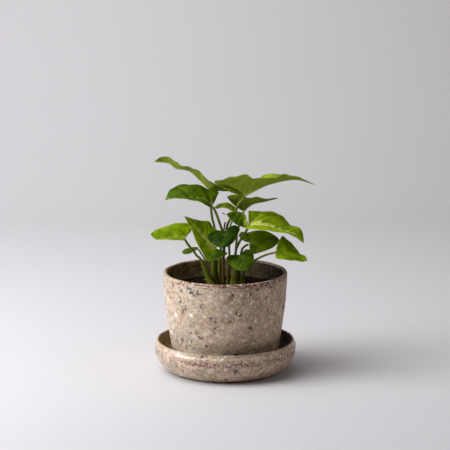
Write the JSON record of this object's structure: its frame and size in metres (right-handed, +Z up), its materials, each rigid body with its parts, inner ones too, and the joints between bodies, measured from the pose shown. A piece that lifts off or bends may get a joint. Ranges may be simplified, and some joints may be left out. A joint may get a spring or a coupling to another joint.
{
  "type": "potted arrowhead plant",
  "caption": "Young leafy arrowhead plant growing in a speckled stoneware pot that stands on its matching deep saucer.",
  "frame": {"origin": "middle of the saucer's flat underside", "axes": "+Z up, -Y towards the plant's open side, +X to the right of a viewer on that side"},
  "size_m": [0.1638, 0.1426, 0.2144],
  "materials": {
    "pot": "satin",
    "saucer": "satin",
    "soil": "matte",
    "leaf": "satin",
    "stalk": "satin",
    "dry_stalk": "matte"
  },
  "bodies": {
    "root": {"dry_stalk": "dry_stalk", "far_left_blade": "leaf", "far_left_stalk": "stalk", "far_right_blade": "leaf", "far_right_stalk": "stalk", "front_blade": "leaf", "front_stalk": "stalk", "left_blade": "leaf", "left_stalk": "stalk", "little_arched_blade": "leaf", "little_arched_stalk": "stalk", "little_left_blade": "leaf", "little_left_stalk": "stalk", "lower_right_blade": "leaf", "lower_right_stalk": "stalk", "middle_blade": "leaf", "middle_stalk": "stalk", "pot": "pot", "right_blade": "leaf", "right_stalk": "stalk", "saucer": "saucer", "soil": "soil", "top_left_blade": "leaf", "top_left_stalk": "stalk", "top_right_blade": "leaf", "top_right_stalk": "stalk", "upper_left_blade": "leaf", "upper_left_stalk": "stalk", "upper_right_blade": "leaf", "upper_right_stalk": "stalk"}
  },
  "joints": []
}
